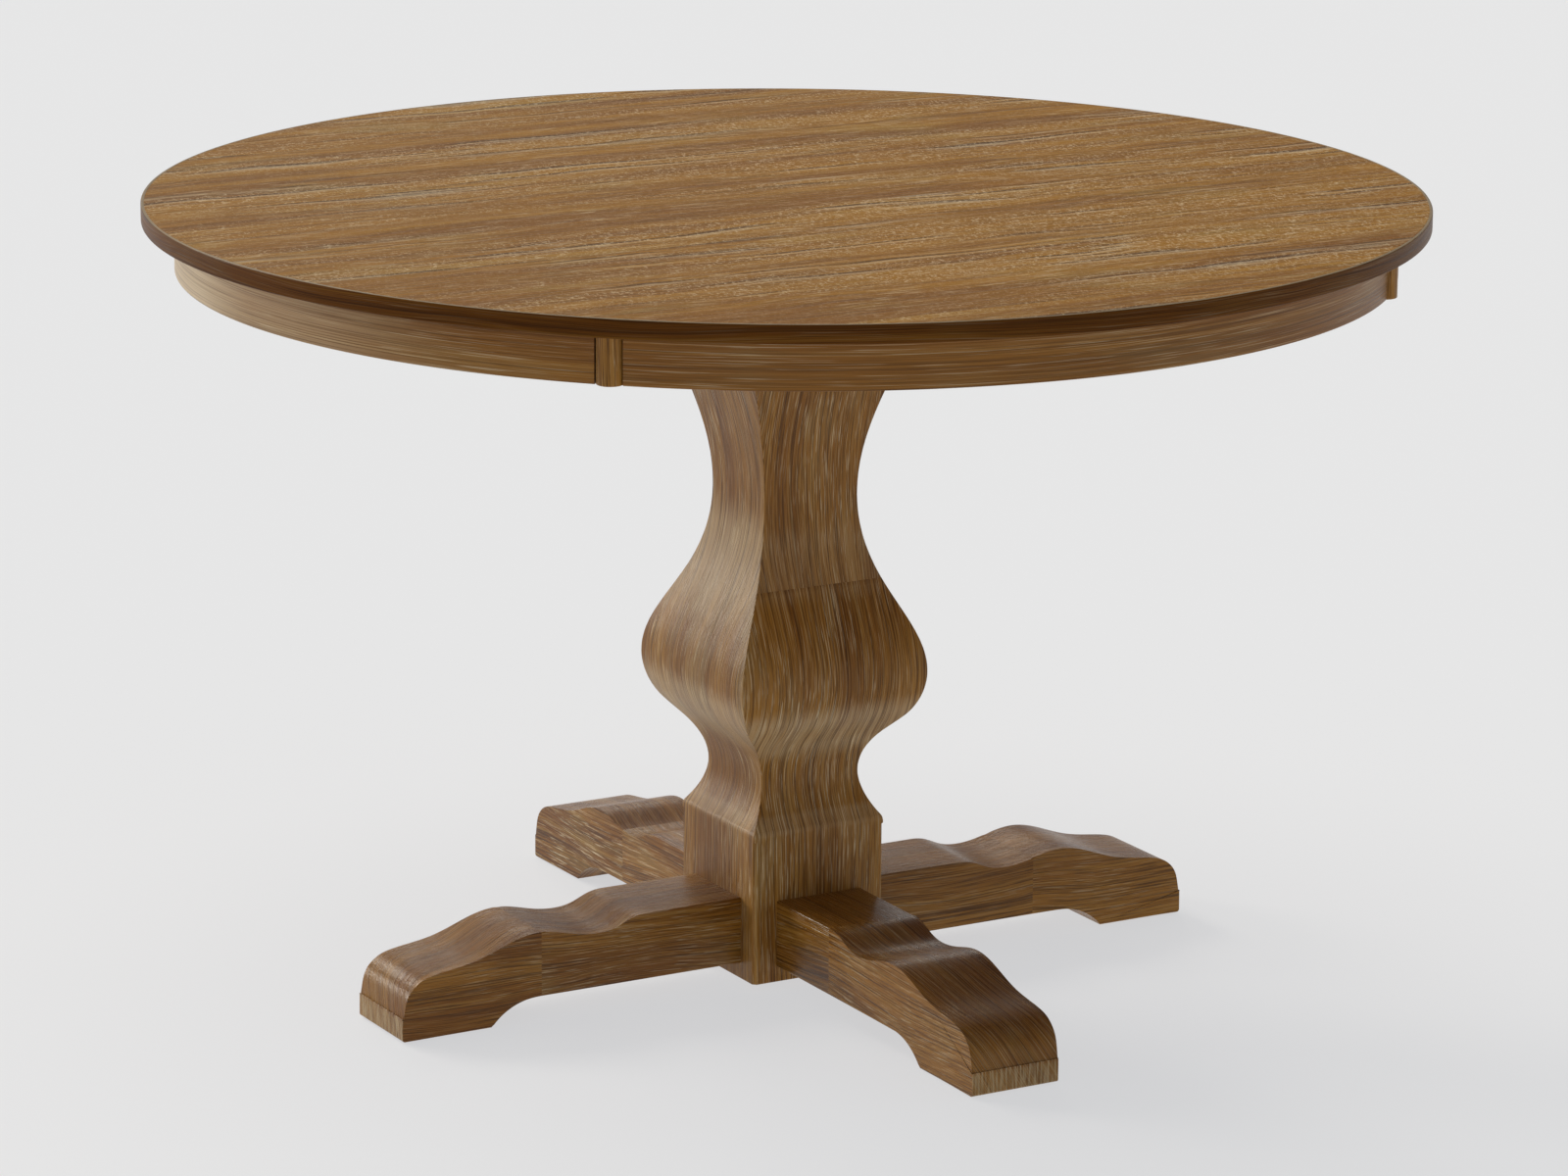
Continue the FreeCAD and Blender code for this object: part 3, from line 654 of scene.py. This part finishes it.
# What the top, the lipping, the rails, the column and the legs look like
TOP_LOOK = dict(lime=0.45, contrast=0.5, tint=(0.99, 1.0, 0.62, 1), roughness=0.42, gloss=0.03,
                sheen=0.0, wander=0.035, bend=5.0, fine=0.35, leaf=0.1194, figure=True)
EDGE_LOOK = dict(dark=0.60, lime=0.28, tint=(1.0, 0.84, 0.40, 1), gloss=0.05, sheen=0.0, slant=0.4,
                 stretch=0.4, arris=0.7485)
APRON_LOOK = dict(lime=0.45, contrast=0.65, slant=0.3, wander=0.001, stretch=0.4)
COLUMN_LOOK = dict(lime=0.7, slant=0.06)
LEG_LOOK = dict(tint=(0.92, 0.86, 0.62, 1), roughness=0.27, gloss=0.22, sheen=0.0, slant=0.6,
                fine=1.4)

# How the leg blocks differ: share of dark stain, amount of lime
LEG_SHADES = {
    ("inner", "right"): (0.15, 0.30), ("outer", "right"): (0.05, 0.35),
    ("inner", "back"): (0.0, 0.6), ("outer", "back"): (0.0, 0.9),
    ("inner", "left"): (0.12, 0.50), ("outer", "left"): (0.05, 0.35),
    ("inner", "front"): (0.20, 0.35), ("outer", "front"): (0.10, 0.6),
}

# Where a leg's end grain starts along the leg, and how high the pale band on it goes
END_GRAIN = (0.426, 0.022)

# Places up the column with more lime; the left side's bands are partly painted highlight, most of
# all the one over the bulge's upper slope
COLUMN_LIME_AND_HIGHLIGHT_BANDS = {
    "left": ((0.150, 0.172, 0.20), (0.225, 0.300, 0.32), (0.340, 0.470, 0.40),
             (0.580, 0.760, 0.15)),
    "front": ((0.150, 0.172, 0.15), (0.215, 0.285, 0.30), (0.370, 0.450, 0.12)),
    "right": ((0.225, 0.290, 0.30),),
    "back": ((0.225, 0.290, 0.30),),
}

# Places along the left rail with more lime, partly painted light where the rail's far end is lit
# from the left, measured round the rim from its middle
APRON_LIME_AND_LIGHT_BANDS = {"left": ((-0.43, 0.33, 0.34), (-0.40, 0.05, 0.55))}

# Radii at which the grain of the lipping and of the rails is measured
EDGE_RADIUS = 0.597
APRON_RADIUS = 0.567


def make_materials():
    made = {
        "top": wood("oak_top", lengthwise, 1.0, **TOP_LOOK),
        "edge": wood("oak_edge", round_grain(-90, EDGE_RADIUS), 2.0, **EDGE_LOOK),
    }
    for i, (side, angle) in enumerate(SIDES.items()):
        made["apron_" + side] = wood("oak_apron_" + side, round_grain(angle, APRON_RADIUS), 3.0 + i,
                                     lime_and_light_bands=APRON_LIME_AND_LIGHT_BANDS.get(side, ()), **APRON_LOOK)
        for j, part in enumerate(("lower", "upper")):
            # only the front's two parts differ: on the other sides their joint doesn't show
            seed = 8.0 + 2 * i + (j if side == "front" else 0)
            name = "column_" + part + "_" + side
            made[name] = wood("oak_" + name, straight(angle, "up"), seed,
                              lime_and_light_bands=COLUMN_LIME_AND_HIGHLIGHT_BANDS[side], **COLUMN_LOOK)
        for j, block in enumerate(("inner", "outer")):
            name = "leg_" + block + "_" + side
            dark, lime = LEG_SHADES[block, side]
            made[name] = wood("oak_" + name, straight(angle, "out"), 17.0 + 2 * i + j, dark=dark,
                              lime=lime, end=END_GRAIN if block == "outer" else None, **LEG_LOOK)
    for i, (corner, angle) in enumerate(CORNERS.items()):
        name = "pilaster_" + corner
        made[name] = wood("oak_" + name, straight(angle, "up"), 30.0 + i, slant=0.5)
    return made


def plain(name, colour, roughness, metallic=0.0):
    """A plain material, with faint cloudy patches."""
    t = Tree(name)
    cloud = t.noise(t.position(), 3.0, 0.6, scale=60.0)
    tone = t.mix(t.ramp(cloud, 0.3, 0.7, 0.0, 0.25), srgb(colour), BLACK)
    t.set(t.shader.inputs["Base Color"], tone)
    t.set(t.shader.inputs["Roughness"], t.times_plus(cloud, 0.15, roughness - 0.07))
    t.shader.inputs["Metallic"].default_value = metallic
    return t.material


def finish_of(node):
    """The finish of a CAD node that isn't seen from outside, by its name."""
    if "pad" in node:
        return "nylon"
    if "insert" in node:
        return "brass"
    if any(word in node for word in ("screw", "nut", "washer", "bolt", "rod")):
        return "zinc"
    return "raw"


def dress_cad_nodes():
    """Give the CAD nodes that keep their own mesh their materials."""
    finishes = {
        "zinc": plain("zinc_steel", "B9BBBA", 0.34, 1.0),
        "nylon": plain("black_nylon", "1D1E20", 0.5),
        "brass": plain("brass", "B08D4A", 0.3, 1.0),
        "raw": wood("raw_beech", lengthwise, 40.0, lime=0.2, tint=srgb("FFF0D8")),
    }
    for name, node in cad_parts.items():
        if node.hide_render:
            continue
        if name.startswith("apron_pilaster_"):
            material = materials[name.removeprefix("apron_")]
        else:
            material = finishes[finish_of(name)]
        node.material_slots[0].material = material


# ---- stage ----

# Floor: half its size, how far it lies below the pads so that the two don't meet, and its colours
FLOOR_REACH = 40.0
FLOOR_DROP = 0.2 * MM
FLOOR_COLOUR = (0.25, 0.25, 0.25, 1)
FLOOR_LIGHT = (0.957, 0.973, 1, 1)
FLOOR_STRENGTH = 0.601

# Brightness of the surroundings below and above a band near the horizon
FLOOR_GLOW = 0.80
SKY_GLOW = 0.26
HORIZON = (0.03, 0.16)

# Lights: azimuth and elevation, strength and angular size
SUN_COLOUR = (1.0, 0.94, 0.84)
SUNS = {
    "above": (-40, 72, 0.97, 60),
    "key": (-42, 32, 1.1, 18),
    "low": (-64, 14, 1.15, 16),
    "back": (-8, 31, 0.25, 16),
}


def make_floor():
    mesh = bpy.data.meshes.new("floor")
    size, z = FLOOR_REACH, -FLOOR_DROP
    corners = [(-size, -size, z), (size, -size, z), (size, size, z), (-size, size, z)]
    mesh.from_pydata(corners, [], [(0, 1, 2, 3)])
    floor = bpy.data.objects.new("floor", mesh)
    bpy.context.scene.collection.objects.link(floor)
    t = Tree("pale_floor")
    t.shader.inputs["Base Color"].default_value = FLOOR_COLOUR
    t.shader.inputs["Emission Color"].default_value = FLOOR_LIGHT
    t.shader.inputs["Emission Strength"].default_value = FLOOR_STRENGTH
    t.shader.inputs["Roughness"].default_value = 0.9
    t.shader.inputs["Specular IOR Level"].default_value = 0.0
    mesh.materials.append(t.material)


def polar(azimuth, elevation):
    """Direction towards a light: azimuth 0 is beyond the table as the camera sees it, 90 right."""
    a = math.radians(azimuth - CAMERA_AZIMUTH)
    e = math.radians(elevation)
    return Vector((math.sin(a) * math.cos(e), math.cos(a) * math.cos(e), math.sin(e)))


def make_world():
    """Surroundings that are bright at the horizon, where they meet the floor, and dim overhead."""
    world = bpy.data.worlds.new("studio")
    bpy.context.scene.world = world
    world.use_nodes = True
    nodes, links = world.node_tree.nodes, world.node_tree.links
    where = nodes.new("ShaderNodeSeparateXYZ")
    links.new(nodes.new("ShaderNodeTexCoord").outputs["Generated"], where.inputs[0])
    fall = nodes.new("ShaderNodeMapRange")
    fall.interpolation_type = "SMOOTHSTEP"
    links.new(where.outputs[2], fall.inputs[0])
    for socket, number in zip(fall.inputs[1:5], (*HORIZON, FLOOR_GLOW, SKY_GLOW)):
        socket.default_value = number
    background = nodes["Background"]
    background.inputs[0].default_value = (1, 1, 1, 1)
    links.new(fall.outputs[0], background.inputs[1])


def make_suns():
    for name, (azimuth, elevation, strength, size) in SUNS.items():
        light = bpy.data.lights.new(name, "SUN")
        light.energy = strength
        light.angle = math.radians(size)
        light.color = SUN_COLOUR
        lamp = bpy.data.objects.new(name, light)
        lamp.rotation_euler = polar(azimuth, elevation).to_track_quat("Z", "Y").to_euler()
        bpy.context.scene.collection.objects.link(lamp)


def make_camera():
    data = bpy.data.cameras.new("camera")
    data.lens = CAMERA_LENS
    data.clip_end = CAMERA_CLIP
    camera = bpy.data.objects.new("camera", data)
    bpy.context.scene.collection.objects.link(camera)
    a = math.radians(CAMERA_AZIMUTH)
    pitch, roll = math.radians(CAMERA_PITCH), math.radians(CAMERA_ROLL)
    place = Vector((math.sin(a), -math.cos(a), 0)) * CAMERA_DISTANCE
    place.z = CAMERA_HEIGHT
    level = math.cos(pitch)
    ahead = Vector((-math.sin(a) * level, math.cos(a) * level, -math.sin(pitch)))
    right = Vector((math.cos(a), math.sin(a), 0))
    above = right.cross(ahead)
    side = right * math.cos(roll) + above * math.sin(roll)
    top = above * math.cos(roll) - right * math.sin(roll)
    camera.matrix_world = Matrix((
        (side.x, top.x, -ahead.x, place.x),
        (side.y, top.y, -ahead.y, place.y),
        (side.z, top.z, -ahead.z, place.z),
        (0, 0, 0, 1),
    ))
    bpy.context.scene.camera = camera


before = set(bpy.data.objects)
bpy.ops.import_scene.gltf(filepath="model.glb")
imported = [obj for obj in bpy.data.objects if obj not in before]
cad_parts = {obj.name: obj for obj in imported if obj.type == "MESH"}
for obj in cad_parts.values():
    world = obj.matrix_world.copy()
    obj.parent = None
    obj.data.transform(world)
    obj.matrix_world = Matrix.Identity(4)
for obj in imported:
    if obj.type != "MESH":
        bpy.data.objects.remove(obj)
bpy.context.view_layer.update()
bpy.context.scene.view_settings.view_transform = "Standard"
make_camera()
materials = make_materials()
make_top()
make_rails()
make_staves()
make_legs()
dress_cad_nodes()
make_floor()
make_world()
make_suns()
